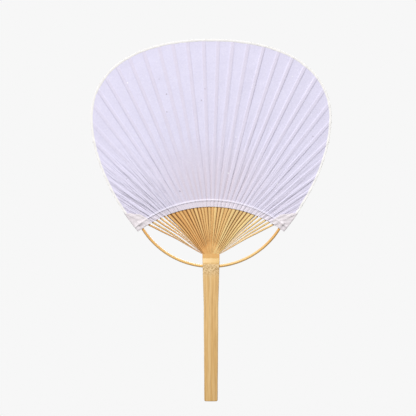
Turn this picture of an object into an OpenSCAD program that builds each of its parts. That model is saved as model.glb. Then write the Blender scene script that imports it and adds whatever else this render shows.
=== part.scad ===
// Round uchiwa fan: a strip of bamboo split into ribs, a bent bow, a thread that spreads the ribs,
// two sheets of paper, a paper binding round the rim and a folded patch on each lower corner.
// The fan stands upright, with its front towards -Y and the end of its handle at the origin.

/* [Handle] */
// Length of the handle, from its end to the top of the bevel where the ribs begin
handle_len = 150; // [110:1:200]
// Width of the handle at its end
end_w = 14; // [11:0.1:18]
// Width of the handle where its flare begins
grip_w = 15.4; // [12:0.1:20]
// Width of the handle at the top of the bevel
shoulder_w = 18; // [15:0.1:24]
// Length of the flare below the top of the bevel
flare_len = 50; // [30:1:80]
// Thickness of the handle
handle_t = 5.2; // [4.6:0.1:8]
// Width of the flat cut off each long edge of the handle, measured along its face
edge_cut = 1.2; // [0.5:0.1:1.6]
// Radius of the two corners at the handle's end
end_r = 1.6; // [0.5:0.1:4]
// Height of the bevel that thins the strip on its front
front_bevel = 5; // [3:0.1:6]
// Height of the bevel that thins the strip on its back
back_bevel = 2.5; // [1:0.1:5]

/* [Ribs] */
// Number of ribs that the strip is split into
rib_n = 34; // [24:2:48]
// Thickness of the ribs
rib_t = 1.8; // [1.2:0.1:2.4]
// Distance of the ribs' mid-plane behind the handle's mid-plane
rib_set = 0.4; // [0:0.1:0.6]
// Height of the point that the ribs spread from, above the bevel
spread_rise = 2; // [0:0.5:6]
// Angle between the outermost rib and the head's lower corner, seen from that point
rib_margin = 8.2; // [6:0.1:14]
// How much closer the ribs lie at the sides than in the middle
bunching = 0.07; // [0:0.01:0.15]
// Radius of the unsplit neck about the point that the ribs spread from
neck_r = 20; // [16:1:26]
// Width of the slits between the broad middle ribs
slit_w = 0.3; // [0.2:0.05:0.6]
// Number of slender ribs at each side
side_ribs = 5; // [3:1:8]
// Full width of a slender rib
side_rib_w = 2.1; // [1.5:0.1:2.4]
// Share of its room that a slender rib fills near the neck, where it is still narrower
side_fill = 0.72; // [0.6:0.02:0.9]
// Width of a broad rib at the height of the head's top
tip_w = 3; // [1.5:0.1:4]

/* [Head] */
// Width of the head at its widest
head_w = 253; // [200:1:320]
// Height of the head's top above the bevel
top_rise = 230; // [190:1:290]
// Height of the widest line above the bevel
widest_rise = 148; // [120:1:180]
// Distance between the two lower corners
corner_span = 153; // [125:1:190]
// Height of the lower corners above the bevel
corner_rise = 28; // [20:1:40]
// Lean of the sides at the lower corners, from upright
corner_lean = 40; // [25:1:50]
// Height of the middle of the lower edge above the bevel
edge_rise = 54; // [45:1:70]
// Thickness of each sheet of paper
paper_t = 0.3; // [0.2:0.05:0.5]
// Thickness of the rim binding
binding_t = 0.25; // [0.15:0.05:0.4]
// Width of the rim binding on each face
binding_w = 2.4; // [1.5:0.1:5]
// Thickness of the corner patches
patch_t = 0.25; // [0.2:0.05:0.4]
// Radius of the corner patches about the knot that they cover
patch_r = 12; // [9:0.5:15]

/* [Bow and thread] */
// Diameter of the bow
bow_d = 3; // [2:0.1:3.2]
// Height of the bow's hole below the top of the bevel
bow_drop = 8.6; // [7:0.1:14]
// Distance from the lower corner to where the bow goes under the paper, measured level
bow_inset = 4.5; // [3.5:0.1:8]
// Length of each end of the bow under the paper
bow_tail = 7; // [5:0.1:8]
// Diameter of the thread
thread_d = 0.6; // [0.4:0.1:0.8]
// Height of the thread above the middle of the paper's lower edge
thread_gap = 6.8; // [5:0.1:12]
// Distance from the bow's tip to the middle of the thread's turns round it
lash_setback = 1.5; // [1:0.1:2.5]
// Number of turns of thread round each end of the bow
lash_turns = 3; // [2:1:4]
// Clearance round the bow and the thread
slack = 0.05; // [0.02:0.01:0.1]

/* [Hidden] */
$fn = 64;
// Steps along each curve of the head's outline
curve_steps = 24;
// Shares of each curve's reach at which its direction still holds
top_hold = 0.69;
shoulder_hold = 0.55;
side_hold = 0.36;
corner_hold = 0.34;
// Steps round a corner of the handle's end
corner_steps = 6;

// Layers, from front to back
rib_front = rib_set - rib_t / 2;
rib_back = rib_set + rib_t / 2;
paper_front = rib_front - paper_t;
paper_back = rib_back + paper_t;
binding_front = paper_front - binding_t;
binding_back = paper_back + binding_t;
patch_front = binding_front - patch_t;
patch_back = binding_back + patch_t;
front_strand_y = rib_front - thread_d / 2;
back_strand_y = rib_back + thread_d / 2;

// Heights above the handle's end
spread_z = handle_len + spread_rise;
top_z = handle_len + top_rise;
widest_z = handle_len + widest_rise;
corner_z = handle_len + corner_rise;
edge_z = handle_len + edge_rise;
thread_z = edge_z + thread_gap;
bow_z = handle_len - bow_drop;

// Radius of an arc through its middle and a point that lies x to the side and drop lower or higher
function arc_radius(x, drop) = (x ^ 2 + drop ^ 2) / (2 * drop);

// The lower edge of the paper is an arc through both corners
corner_x = corner_span / 2;
edge_r = arc_radius(corner_x, edge_z - corner_z);
function edge_height(x) = edge_z - edge_r + sqrt(edge_r ^ 2 - x ^ 2);

// The bow is an arc through its hole and the points where it goes under the paper. In the straight
// hole it sags by this much, and the hole is opened up to let it pass.
bow_in_x = corner_x - bow_inset;
bow_sag = (shoulder_w / 2) ^ 2 / (2 * arc_radius(bow_in_x, edge_height(bow_in_x) - bow_z));
bow_low_z = bow_z - bow_sag / 2;
bow_r = arc_radius(bow_in_x, edge_height(bow_in_x) - bow_low_z);
bow_centre_z = bow_low_z + bow_r;
bow_hole_d = bow_d + bow_sag + 2 * slack;
bow_in_angle = asin(bow_in_x / bow_r);
bow_end_angle = bow_in_angle + bow_tail / bow_r * 180 / PI;

// The knots sit on the bow near its tips, and the thread is an arc through both of them
lash_angle = bow_end_angle - lash_setback / bow_r * 180 / PI;
lash_x = bow_r * sin(lash_angle);
lash_z = bow_centre_z - bow_r * cos(lash_angle);
lash_w = lash_turns * thread_d;
lash_r = bow_d / 2 + thread_d;
knot_r = norm([lash_r, lash_w / 2]) + slack;
thread_r = arc_radius(lash_x, thread_z - lash_z);
thread_centre_z = thread_z - thread_r;
thread_angle = asin(lash_x / thread_r);
// Each ridge over the thread stops where a corner patch takes over
ridge_angle = thread_angle - 2 * asin((patch_r + paper_t) / (2 * thread_r));

// Ribs are counted by a share from -1 at the left to 1 at the right
rib_spread = atan2(corner_x, corner_z - spread_z) - rib_margin;
function rib_share(i) = 2 * i / (rib_n - 1) - 1;
function rib_angle(u) = rib_spread * ((1 + bunching) * u - bunching * u ^ 3);
function rib_pitch(u) = rib_spread * (1 + bunching - 3 * bunching * u ^ 2) * 2 / (rib_n - 1);
// Distance from the point that the ribs spread from to the thread, along a rib at angle a
thread_below = spread_z - thread_centre_z;
function thread_reach(a) = sqrt(thread_r ^ 2 - (thread_below * sin(a)) ^ 2) - thread_below * cos(a);

// Right half of the head's outline, in two cubic curves
top_curve = [
    [0, top_z],
    [head_w / 2 * top_hold, top_z],
    [head_w / 2, widest_z + (top_z - widest_z) * shoulder_hold],
    [head_w / 2, widest_z]
];
side_curve = [
    [head_w / 2, widest_z],
    [head_w / 2, widest_z - (widest_z - corner_z) * side_hold],
    [corner_x, corner_z] + (widest_z - corner_z) * corner_hold * [sin(corner_lean), cos(corner_lean)],
    [corner_x, corner_z]
];

function curve_point(p, t) =
    (1 - t) ^ 3 * p[0] + 3 * (1 - t) ^ 2 * t * p[1] + 3 * (1 - t) * t ^ 2 * p[2] + t ^ 3 * p[3];

function curve_slope(p, t) =
    (1 - t) ^ 2 * (p[1] - p[0]) + 2 * (1 - t) * t * (p[2] - p[1]) + t ^ 2 * (p[3] - p[2]);

// A point of the curve, moved inwards by inset. The curves run clockwise, so inwards is to the right.
function inset_point(p, t, inset) =
    let (slope = curve_slope(p, t))
    curve_point(p, t) + inset * [slope[1], -slope[0]] / norm(slope);

function right_half(inset) = [
    for (k = [0 : curve_steps]) inset_point(top_curve, k / curve_steps, inset),
    for (k = [1 : curve_steps]) inset_point(side_curve, k / curve_steps, inset)
];

// Outline from the left corner over the top to the right corner
function head_edge(inset) =
    let (right = right_half(inset), last = len(right) - 1)
    concat([for (k = [last : -1 : 1]) [-right[k][0], right[k][1]]], right);

// Points along the paper's lower edge, from x at the right to -x at the left
function lower_edge(x) = [for (k = [1 : curve_steps - 1])
    let (at = x * (1 - 2 * k / curve_steps)) [at, edge_height(at)]];

// Stands a flat shape up, with its y as height, between the planes front and back
module upright(front, back) {
    translate([0, back, 0])
        rotate([90, 0, 0])
            linear_extrude(back - front)
                children();
}

// Sheet that fills the head, drawn in from the rim by inset
module head_sheet(inset) {
    rim = head_edge(inset);
    polygon(concat(rim, lower_edge(rim[len(rim) - 1][0])));
}

// Tube of diameter d along the bow, over the given angles from its lowest point
module along_bow(d, from, to) {
    translate([0, rib_set, bow_centre_z])
        rotate([90, 0, 0])
            rotate([0, 0, from - 90])
                rotate_extrude(angle = to - from)
                    translate([bow_r, 0])
                        circle(d = d);
}

// Tube of diameter d along the thread, at depth y, over the given angle each way from the middle
module along_thread(d, y, reach) {
    translate([0, y, thread_centre_z])
        rotate([90, 0, 0])
            rotate([0, 0, 90 - reach])
                rotate_extrude(angle = 2 * reach)
                    translate([thread_r, 0])
                        circle(d = d);
}

// Turns a child's z axis along the bow at the knot, on the left for side -1 or the right for side 1
module at_knot(side) {
    translate([side * lash_x, rib_set, lash_z])
        rotate([0, side * (90 - lash_angle), 0])
            children();
}

// Space that the bow, the knots and the thread take out of the paper
module cord_space() {
    along_bow(bow_d + 2 * slack, -bow_end_angle - 1, bow_end_angle + 1);
    for (side = [-1, 1])
        at_knot(side)
            cylinder(h = lash_w + 2 * slack, r = lash_r + slack, center = true);
    for (y = [front_strand_y, back_strand_y])
        along_thread(thread_d + 2 * slack, y, thread_angle);
}

// Half outline of the handle, moved out by grow and squeezed sideways by squeeze
function handle_side(grow, squeeze) =
    let (r = end_r)
    concat(
        [for (k = [0 : corner_steps])
            let (a = 90 * k / corner_steps)
            [(end_w / 2 - r + r * sin(a) + grow) * squeeze, r - r * cos(a)]],
        [[(grip_w / 2 + grow) * squeeze, handle_len - flare_len]],
        [[(shoulder_w / 2 + grow) * squeeze, handle_len]]
    );

module handle_outline(grow, squeeze) {
    side = handle_side(grow, squeeze);
    last = len(side) - 1;
    polygon(concat(side, [for (k = [last : -1 : 0]) [-side[k][0], side[k][1]]]));
}

// Side view of the handle, with a bevel on each face that thins it to the ribs
module handle_profile() {
    polygon([
        [-handle_t / 2, 0],
        [handle_t / 2, 0],
        [handle_t / 2, handle_len - back_bevel],
        [rib_back, handle_len],
        [rib_front, handle_len],
        [-handle_t / 2, handle_len - front_bevel]
    ]);
}

module handle() {
    // An edge cut is the handle's outline seen at 45 degrees, moved in from where the faces would meet
    cut_grow = handle_t / 2 - edge_cut;
    intersection() {
        upright(-handle_t / 2, handle_t / 2)
            handle_outline(0, 1);
        rotate([0, 0, 90])
            upright(-shoulder_w, shoulder_w)
                handle_profile();
        intersection_for(turn = [-45, 45])
            rotate([0, 0, turn])
                upright(-shoulder_w, shoulder_w)
                    handle_outline(cut_grow, sqrt(1 / 2));
    }
}

// One rib. A broad rib fills its share of the fan up to the thread, then narrows towards its tip. A
// slender rib widens evenly from the neck until it has its full width.
module rib(i) {
    u = rib_share(i);
    a = rib_angle(u);
    slender = i < side_ribs || i >= rib_n - side_ribs;
    root = slender ? spread_rise : neck_r / 2;
    far = top_rise + head_w;
    wedge = tan(rib_pitch(u) / 2);
    knee = slender ? side_rib_w / (2 * wedge * side_fill) : thread_reach(a);
    root_w = 2 * root * wedge * (slender ? side_fill : 1) - (slender ? 0 : slit_w);
    knee_w = slender ? side_rib_w : 2 * knee * wedge - slit_w;
    far_w = slender ? side_rib_w : tip_w;
    translate([0, spread_z])
        rotate(-a)
            polygon([
                [-root_w / 2, root],
                [-knee_w / 2, knee],
                [-far_w / 2, top_rise],
                [-far_w / 2, far],
                [far_w / 2, far],
                [far_w / 2, top_rise],
                [knee_w / 2, knee],
                [root_w / 2, root]
            ]);
}

// Unsplit neck between the bevel and the slits
module neck() {
    side_z = spread_z + shoulder_w / 2 / tan(rib_spread);
    broad = rib_angle(rib_share(rib_n - side_ribs - 1));
    polygon(concat(
        [[-shoulder_w / 2, handle_len], [-shoulder_w / 2, side_z]],
        [for (k = [-curve_steps : curve_steps])
            let (a = broad * k / curve_steps)
            [neck_r * sin(a), spread_z + neck_r * cos(a)]],
        [[shoulder_w / 2, side_z], [shoulder_w / 2, handle_len]]
    ));
}

module handle_and_ribs() {
    rim = head_edge(2 * binding_t);
    color("burlywood")
        difference() {
            union() {
                handle();
                upright(rib_front, rib_back)
                    union() {
                        neck();
                        intersection() {
                            for (i = [0 : rib_n - 1])
                                rib(i);
                            polygon(concat(rim, [[corner_x, handle_len], [-corner_x, handle_len]]));
                        }
                    }
            }
            translate([0, rib_set, bow_z])
                rotate([0, 90, 0])
                    cylinder(h = 2 * shoulder_w, d = bow_hole_d, center = true);
        }
}

module bow() {
    color("goldenrod")
        along_bow(bow_d, -bow_end_angle, bow_end_angle);
}

module binding_thread() {
    color("whitesmoke")
        difference() {
            union() {
                for (y = [front_strand_y, back_strand_y])
                    along_thread(thread_d, y, thread_angle);
                for (side = [-1, 1])
                    at_knot(side)
                        cylinder(h = lash_w, r = lash_r, center = true);
            }
            along_bow(bow_d + 2 * slack, -bow_end_angle - 1, bow_end_angle + 1);
        }
}

// A sheet between two planes, with a ridge where it passes over the thread at depth strand_y. The
// ridge is a tube, less the half that would lie in the ribs' layer.
module paper(front, back, strand_y) {
    difference() {
        union() {
            upright(front, back)
                head_sheet(binding_t);
            difference() {
                along_thread(thread_d + 2 * (slack + paper_t), strand_y, ridge_angle);
                translate([0, rib_set, thread_z])
                    cube([head_w, rib_t, head_w], center = true);
            }
        }
        cord_space();
    }
}

module front_paper() {
    color("lavender")
        paper(paper_front, rib_front, front_strand_y);
}

module back_paper() {
    color("lavender")
        paper(rib_back, paper_back, back_strand_y);
}

module rim_binding() {
    outer = head_edge(0);
    inner = head_edge(binding_w);
    last = len(inner) - 1;
    color("ivory")
        difference() {
            upright(binding_front, binding_back)
                polygon(concat(outer, [for (k = [last : -1 : 0]) inner[k]]));
            upright(paper_front, paper_back)
                head_sheet(binding_t);
        }
}

// Patch folded over a lower corner, hollow where it covers the rim, the knot and the thread
module corner_patch(side) {
    rim = head_edge(-patch_t);
    color("mistyrose")
        difference() {
            union() {
                upright(patch_front, patch_back)
                    intersection() {
                        translate([side * lash_x, lash_z])
                            circle(r = patch_r);
                        polygon(concat(rim, lower_edge(rim[len(rim) - 1][0])));
                    }
                at_knot(side)
                    sphere(r = knot_r + patch_t);
            }
            upright(paper_front, paper_back)
                head_sheet(0);
            upright(binding_front, binding_back)
                difference() {
                    head_sheet(0);
                    head_sheet(binding_w);
                }
            cord_space();
        }
}

module left_corner_patch() {
    corner_patch(-1);
}

module right_corner_patch() {
    corner_patch(1);
}

handle_and_ribs();
bow();
binding_thread();
front_paper();
back_paper();
rim_binding();
left_corner_patch();
right_corner_patch();
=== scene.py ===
"""A round paper fan: a bamboo strip split into ribs, a bent bow, a thread, two papers, a rim binding
and two corner patches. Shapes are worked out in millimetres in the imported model's frame, with X to
the right, Z up and the front facing -Y, and go into their meshes in metres."""

import math

import bmesh
import bpy
import numpy as np
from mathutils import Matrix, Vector


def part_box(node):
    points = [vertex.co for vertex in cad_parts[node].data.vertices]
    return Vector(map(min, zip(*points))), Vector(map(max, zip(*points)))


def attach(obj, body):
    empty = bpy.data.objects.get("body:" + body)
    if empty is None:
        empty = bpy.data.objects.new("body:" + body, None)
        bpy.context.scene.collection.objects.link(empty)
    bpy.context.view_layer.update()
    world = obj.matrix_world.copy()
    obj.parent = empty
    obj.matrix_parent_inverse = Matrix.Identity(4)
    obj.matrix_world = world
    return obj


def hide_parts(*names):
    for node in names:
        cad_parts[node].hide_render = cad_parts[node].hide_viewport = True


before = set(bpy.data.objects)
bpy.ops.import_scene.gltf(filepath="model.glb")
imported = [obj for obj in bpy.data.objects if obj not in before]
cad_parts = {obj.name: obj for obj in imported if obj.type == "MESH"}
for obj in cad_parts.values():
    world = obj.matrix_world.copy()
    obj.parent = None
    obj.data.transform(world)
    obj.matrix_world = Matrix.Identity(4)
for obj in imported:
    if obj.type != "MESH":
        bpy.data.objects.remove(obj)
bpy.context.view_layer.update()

MM = 0.001


def box_mm(node):
    """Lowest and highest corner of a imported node, in millimetres."""
    low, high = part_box(node)
    return np.array(low) / MM, np.array(high) / MM


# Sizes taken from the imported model
rim_low, rim_high = box_mm("rim_binding")
strip_low, strip_high = box_mm("handle_and_ribs")
bow_low, bow_high = box_mm("bow")
HEAD_W = rim_high[0] - rim_low[0]
TOP_Z = rim_high[2]
CORNER_Z = rim_low[2]
HANDLE_T = strip_high[1] - strip_low[1]
BOW_D = bow_high[1] - bow_low[1]
BOW_LOW_Z = bow_low[2] + BOW_D / 2

# Sizes of the handle
HANDLE_LEN = 150.0
END_W = 14.0
GRIP_W = 15.4
SHOULDER_W = 18.0
FLARE_LEN = 50.0
END_R = 1.6
FRONT_BEVEL = 5.0
BACK_BEVEL = 2.5
BEVEL_Z = HANDLE_LEN - FRONT_BEVEL
HOLE_ROOM = 0.12

# Sizes of the ribs, which spread from a point above the bevel
RIB_N = 34
SIDE_RIBS = 5
RIB_T = 1.8
RIB_Y = 0.4
SPREAD_Z = 152.0
RIB_MARGIN = 8.2
BUNCHING = 0.07
NECK_TOP = 154.8
NECK_DROP = 2.3
FACE_SHARE = 0.62
TOP_FACE = 1.5
SLENDER_HALF = 1.05
SLENDER_FILL = 0.72
RIB_FRONT = RIB_Y - RIB_T / 2
RIB_BACK = RIB_Y + RIB_T / 2

# Sizes of the head
WIDEST_Z = 298.0
CORNER_X = 76.5
CORNER_LEAN = 40.0
EDGE_Z = 204.0
TOP_HOLD = 0.69
SHOULDER_HOLD = 0.55
SIDE_HOLD = 0.36
CORNER_HOLD = 0.34
BINDING_T = 0.25
BINDING_W = 2.4
PAPER_T = 0.3
THREAD_D = 0.6
THREAD_Z = 210.8
BOW_INSET = 4.5
BOW_TAIL = 7.0
LASH_SETBACK = 1.5

# How far the paper sinks between two ribs, how wide its slope beside a rib is, and how it rises over
# the thread and over the bow's tails
SINK = 0.56
MOST_SINK = 0.8
SINK_SPAN = 1.2
SLOPE_W = 1.1
RIM_FADE = 9.0
HEM_RISE = 0.3
THREAD_RISE = 0.72
THREAD_RIDGE_W = 0.85
TAIL_RISE = 0.6
TAIL_RIDGE_W = 1.6


def smooth(low, high, x):
    """Rises from 0 at low to 1 at high along 3t^2 - 2t^3."""
    t = np.clip((x - low) / (high - low), 0.0, 1.0)
    return t * t * (3.0 - 2.0 * t)


def bell(x, centre, width, power=2):
    """1 at the centre, falling off on both sides along e^-|t|^power, where t is 1 a width away."""
    return np.exp(-(np.abs((x - centre) / width) ** power))


def arc_radius(x, rise):
    """Radius of an arc through its middle and a point x to the side and rise away."""
    return (x * x + rise * rise) / (2.0 * rise)


def sway(seed, waves, shortest, longest):
    """A smooth random function of one number: a mean of sines whose wavelengths lie between shortest
    and longest and whose phases are drawn from the seed. It stays within about -1 to 1."""
    draw = np.random.default_rng(seed)
    rate = 2.0 * math.pi / draw.uniform(shortest, longest, waves)
    phase = draw.uniform(0.0, 2.0 * math.pi, waves)
    return lambda x: 1.6 * np.sin(np.asarray(x)[..., None] * rate + phase).mean(-1)


# The lower edge of the papers, the thread and the bow are arcs in the head's plane
EDGE_R = arc_radius(CORNER_X, EDGE_Z - CORNER_Z)
EDGE_CENTRE = EDGE_Z - EDGE_R
BOW_IN_X = CORNER_X - BOW_INSET
BOW_IN_Z = EDGE_CENTRE + math.sqrt(EDGE_R**2 - BOW_IN_X**2)
BOW_R = arc_radius(BOW_IN_X, BOW_IN_Z - BOW_LOW_Z)
BOW_CENTRE = BOW_LOW_Z + BOW_R
BOW_END = math.asin(BOW_IN_X / BOW_R) + BOW_TAIL / BOW_R
LASH_ANGLE = BOW_END - LASH_SETBACK / BOW_R
LASH_X = BOW_R * math.sin(LASH_ANGLE)
LASH_Z = BOW_CENTRE - BOW_R * math.cos(LASH_ANGLE)
THREAD_R = arc_radius(LASH_X, THREAD_Z - LASH_Z)
THREAD_CENTRE = THREAD_Z - THREAD_R
CORNER_ANGLE = math.atan2(CORNER_X, CORNER_Z - SPREAD_Z)
RIB_SPREAD = CORNER_ANGLE - math.radians(RIB_MARGIN)


def rib_angle(share):
    """Angle of a rib from upright, for its share from -1 at the left to 1 at the right."""
    return RIB_SPREAD * ((1.0 + BUNCHING) * share - BUNCHING * share**3)


# The strip was split by eye, so the limits between the ribs stray a little from even steps
RIBS = np.arange(RIB_N)
RIB_STRAY = 0.09
stray = np.random.default_rng(17).uniform(-RIB_STRAY, RIB_STRAY, RIB_N + 1)
RIB_LIMITS = rib_angle(2.0 * (np.arange(RIB_N + 1) - 0.5 + stray) / (RIB_N - 1) - 1.0)
RIB_ANGLES = (RIB_LIMITS[1:] + RIB_LIMITS[:-1]) / 2.0
HALF_PITCH = (RIB_LIMITS[1:] - RIB_LIMITS[:-1]) / 2.0
SLENDER = (RIBS < SIDE_RIBS) | (RIBS >= RIB_N - SIDE_RIBS)

# The paper clings to each rib in its own way: how deep it sinks beside it, less under the shoulders,
# and how crisp its slope is, softer over the middle ribs
rib_draw = np.random.default_rng(11)
RIB_DEGREES = np.degrees(RIB_ANGLES)
MIDDLE_RIBS = bell(RIB_DEGREES, 0.0, 18.0)
RIB_RISE = rib_draw.uniform(0.75, 1.2, RIB_N) * (1.0 - 0.38 * bell(np.abs(RIB_DEGREES), 42.0, 9.0))
RIB_CRISP = rib_draw.uniform(0.75, 1.45, RIB_N) * (1.0 - 0.4 * MIDDLE_RIBS)
rib_sway = sway(5, 5, 40.0, 130.0)


def arc_reach(angle, centre, radius):
    """Distance from the spreading point, at an angle from upright, to an arc about (0, centre)."""
    below = SPREAD_Z - centre
    return np.sqrt(radius**2 - (below * np.sin(angle)) ** 2) - below * np.cos(angle)


def past_thread(x, z):
    """Distance outwards from the thread's arc."""
    return np.hypot(x, z - THREAD_CENTRE) - THREAD_R


def cubic(p, t):
    """Points and directions of a cubic curve with control points p."""
    t = t[:, None]
    at = (1 - t) ** 3 * p[0] + 3 * (1 - t) ** 2 * t * p[1] + 3 * (1 - t) * t**2 * p[2] + t**3 * p[3]
    along = (1 - t) ** 2 * (p[1] - p[0]) + 2 * (1 - t) * t * (p[2] - p[1]) + t**2 * (p[3] - p[2])
    return at, along / np.linalg.norm(along, axis=1)[:, None]


def head_outline(steps):
    """Points of the head's outline and its directions, from the left corner over the top to the right
    corner: two cubic curves for the right side, and their mirror image."""
    half = HEAD_W / 2.0
    rise = WIDEST_Z - CORNER_Z
    lean = math.radians(CORNER_LEAN)
    corner = np.array([CORNER_X, CORNER_Z])
    top = np.array([
        [0.0, TOP_Z],
        [half * TOP_HOLD, TOP_Z],
        [half, WIDEST_Z + (TOP_Z - WIDEST_Z) * SHOULDER_HOLD],
        [half, WIDEST_Z],
    ])
    side = np.array([
        [half, WIDEST_Z],
        [half, WIDEST_Z - rise * SIDE_HOLD],
        corner + rise * CORNER_HOLD * np.array([math.sin(lean), math.cos(lean)]),
        corner,
    ])
    t = np.linspace(0.0, 1.0, steps)
    top_at, top_along = cubic(top, t)
    side_at, side_along = cubic(side, t[1:])
    at = np.vstack([top_at, side_at])
    along = np.vstack([top_along, side_along])
    left = at[:0:-1] * [-1.0, 1.0]
    left_along = along[:0:-1] * [1.0, -1.0]
    return np.vstack([left, at]), np.vstack([left_along, along])


OUTLINE, OUTLINE_ALONG = head_outline(160)
OUTLINE_IN = np.column_stack([OUTLINE_ALONG[:, 1], -OUTLINE_ALONG[:, 0]])
OUTLINE_LENGTH = np.concatenate([[0.0], np.cumsum(np.linalg.norm(np.diff(OUTLINE, axis=0), axis=1))])


def rim_reach(angle, inset):
    """Distance from the spreading point to the head's outline, moved inwards by inset."""
    line = OUTLINE + OUTLINE_IN * inset
    angles = np.arctan2(line[:, 0], line[:, 1] - SPREAD_Z)
    return np.interp(angle, angles, np.hypot(line[:, 0], line[:, 1] - SPREAD_Z))


def outline_at(length, inset):
    """Points at a length along the outline from the left corner, moved inwards by inset."""
    at = [np.interp(length, OUTLINE_LENGTH, OUTLINE[:, k]) for k in (0, 1)]
    inward = [np.interp(length, OUTLINE_LENGTH, OUTLINE_IN[:, k]) for k in (0, 1)]
    return at[0] + inward[0] * inset, at[1] + inward[1] * inset


def rib_half_face(rib, along):
    """Half the width of a rib's face at a distance along it: most of its share of the fan as far as
    the thread, then narrowing to its tip. A slender rib keeps its width once it has room for it."""
    half = HALF_PITCH[rib]
    knee = arc_reach(RIB_ANGLES[rib], THREAD_CENTRE, THREAD_R)
    broad_knee = FACE_SHARE * knee * np.tan(half)
    past = np.clip((along - knee) / (TOP_Z - SPREAD_Z - knee), 0.0, 1.0)
    broad = np.where(along < knee, FACE_SHARE * along * np.tan(half),
                     broad_knee + (TOP_FACE - broad_knee) * past)
    thin = np.minimum(SLENDER_HALF, SLENDER_FILL * along * np.tan(half))
    return np.where(SLENDER[rib], thin, broad)


def paper_relief(x, z):
    """How far the paper's outer face sinks below the rib tops at a point of the head, and how much of a
    rib, and near the thread the painted shade between the ribs, shows through it. Beside each rib the paper
    falls along 1 - (1 - t)^2.2, deeper where the ribs stand further apart, and less towards the rim. It
    rises over the thread in a narrow ridge, stays raised a little below it, and rises over the tails of the
    bow."""
    angle = np.arctan2(x, z - SPREAD_Z)
    reach = np.hypot(x, z - SPREAD_Z)
    rib = np.clip(np.searchsorted(RIB_LIMITS, angle) - 1, 0, RIB_N - 1)
    off = angle - RIB_ANGLES[rib]
    along = reach * np.cos(off)
    face = rib_half_face(rib, along)
    past_face = np.abs(reach * np.sin(off)) - face
    room = np.maximum(along * np.tan(HALF_PITCH[rib]) - face, 0.05)
    slope = np.minimum(SLOPE_W / RIB_CRISP[rib], room)
    across_thread = past_thread(x, z)
    hem = smooth(0.0, -1.5, across_thread)

    depth = SINK * RIB_RISE[rib] * (1.0 - np.exp(-room / SINK_SPAN))
    depth = np.minimum(depth * (1.0 + 0.25 * rib_sway(along + 57.0 * rib)), MOST_SINK)
    sink = depth * (1.0 - (1.0 - np.clip(past_face / slope, 0.0, 1.0)) ** 2.2)
    sink = sink * (1.0 - 0.5 * smooth(RIM_FADE, 0.0, rim_reach(angle, BINDING_T) - reach))
    sink = sink * (1.0 + 0.4 * hem) * (1.0 - 0.25 * MIDDLE_RIBS[rib] * smooth(90.0, 150.0, along))
    sink = sink * (1.0 - 0.9 * bell(across_thread, 0.0, 0.9, 4))
    held = HEM_RISE * (across_thread < 0.0)
    raised = held + (THREAD_RISE - held) * bell(across_thread, 0.0, THREAD_RIDGE_W)
    across_bow = np.hypot(x, z - BOW_CENTRE) - BOW_R
    tail = 1.0 - smooth(BOW_END, BOW_END + 0.03, np.arctan2(np.abs(x), BOW_CENTRE - z))
    raised_bow = TAIL_RISE * bell(across_bow, 0.0, TAIL_RIDGE_W, 4) * tail

    # High up the ribs' faces show through the paper. Near the thread the ribs lie close and show
    # throughout, with painted shade over the gaps between them
    lit = 1.0 - smooth(0.0, 0.9, past_face / 0.9)
    gap_shade = smooth(-0.15, 0.6, past_face / room)
    dense = smooth(75.0, 5.0, along - arc_reach(angle, THREAD_CENTRE, THREAD_R))
    cover = 0.35 * lit * (1.0 - dense) + (0.45 + 0.55 * gap_shade) * (1.0 - 0.25 * hem) * dense
    cover = cover * (1.0 - 0.7 * smooth(0.2, 0.8, np.abs(angle)))
    return sink - np.maximum(raised, raised_bow), cover


def grid_faces(rows, columns, close_columns=False):
    """Corner numbers of the four-sided faces of a grid of points, row after row."""
    r, c = np.meshgrid(np.arange(rows - 1), np.arange(columns if close_columns else columns - 1),
                       indexing="ij")
    r2, c2 = r + 1, (c + 1) % columns
    faces = np.stack([r * columns + c, r * columns + c2, r2 * columns + c2, r2 * columns + c], -1)
    return faces.reshape(-1, 4)


def capped_faces(rows, around):
    """Faces of a tube with both ends closed."""
    faces = grid_faces(rows, around, close_columns=True).tolist()
    return faces + [list(range(around))[::-1], list(range((rows - 1) * around, rows * around))]


def shell_faces(rows, columns):
    """Faces of a thin closed shell: one grid of points, its other side, and the strips that join their
    four edges. The second grid's points follow the first's."""
    count = rows * columns
    outer = grid_faces(rows, columns)
    inner = outer[:, ::-1] + count
    top = np.arange(columns)
    bottom = top + (rows - 1) * columns
    left = np.arange(rows) * columns
    right = left + columns - 1
    loop = np.concatenate([top[:-1], right[:-1], bottom[:0:-1], left[:0:-1]])
    after = np.roll(loop, -1)
    edge = np.stack([after, loop, loop + count, after + count], -1)
    return np.vstack([outer, inner, edge])


def point_list(*axes):
    """One row for each point, from one array for each axis. The arrays are spread to a common shape."""
    return np.stack(np.broadcast_arrays(*axes), -1).reshape(-1, len(axes))


def new_piece(name, points, faces, material, uv=None, marks=None, smooth_angle=40.0):
    """A mesh object from points in millimetres, with one UV pair in millimetres and any number of named
    values for each point. Edges sharper than smooth_angle stay sharp."""
    mesh = bpy.data.meshes.new(name)
    mesh.from_pydata((points * MM).tolist(), [], [list(f) for f in faces])
    loops = np.zeros(len(mesh.loops), dtype=np.int32)
    mesh.loops.foreach_get("vertex_index", loops)
    if uv is not None:
        layer = mesh.uv_layers.new(name="grain")
        layer.data.foreach_set("uv", (uv * MM)[loops].astype(np.float32).ravel())
    for label, values in (marks or {}).items():
        attribute = mesh.attributes.new(label, "FLOAT", "POINT")
        attribute.data.foreach_set("value", np.asarray(values, dtype=np.float32).ravel())
    mesh.validate()
    mesh.shade_smooth()
    mesh.set_sharp_from_angle(angle=math.radians(smooth_angle))
    mesh.materials.append(material)
    piece = bpy.data.objects.new(name, mesh)
    bpy.context.scene.collection.objects.link(piece)
    return piece


def outward(piece):
    """Turns the faces of a closed mesh outwards."""
    work = bmesh.new()
    work.from_mesh(piece.data)
    bmesh.ops.recalc_face_normals(work, faces=work.faces)
    work.to_mesh(piece.data)
    work.free()
    return piece


# Materials

NODES_PER_ROW = 8


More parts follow.
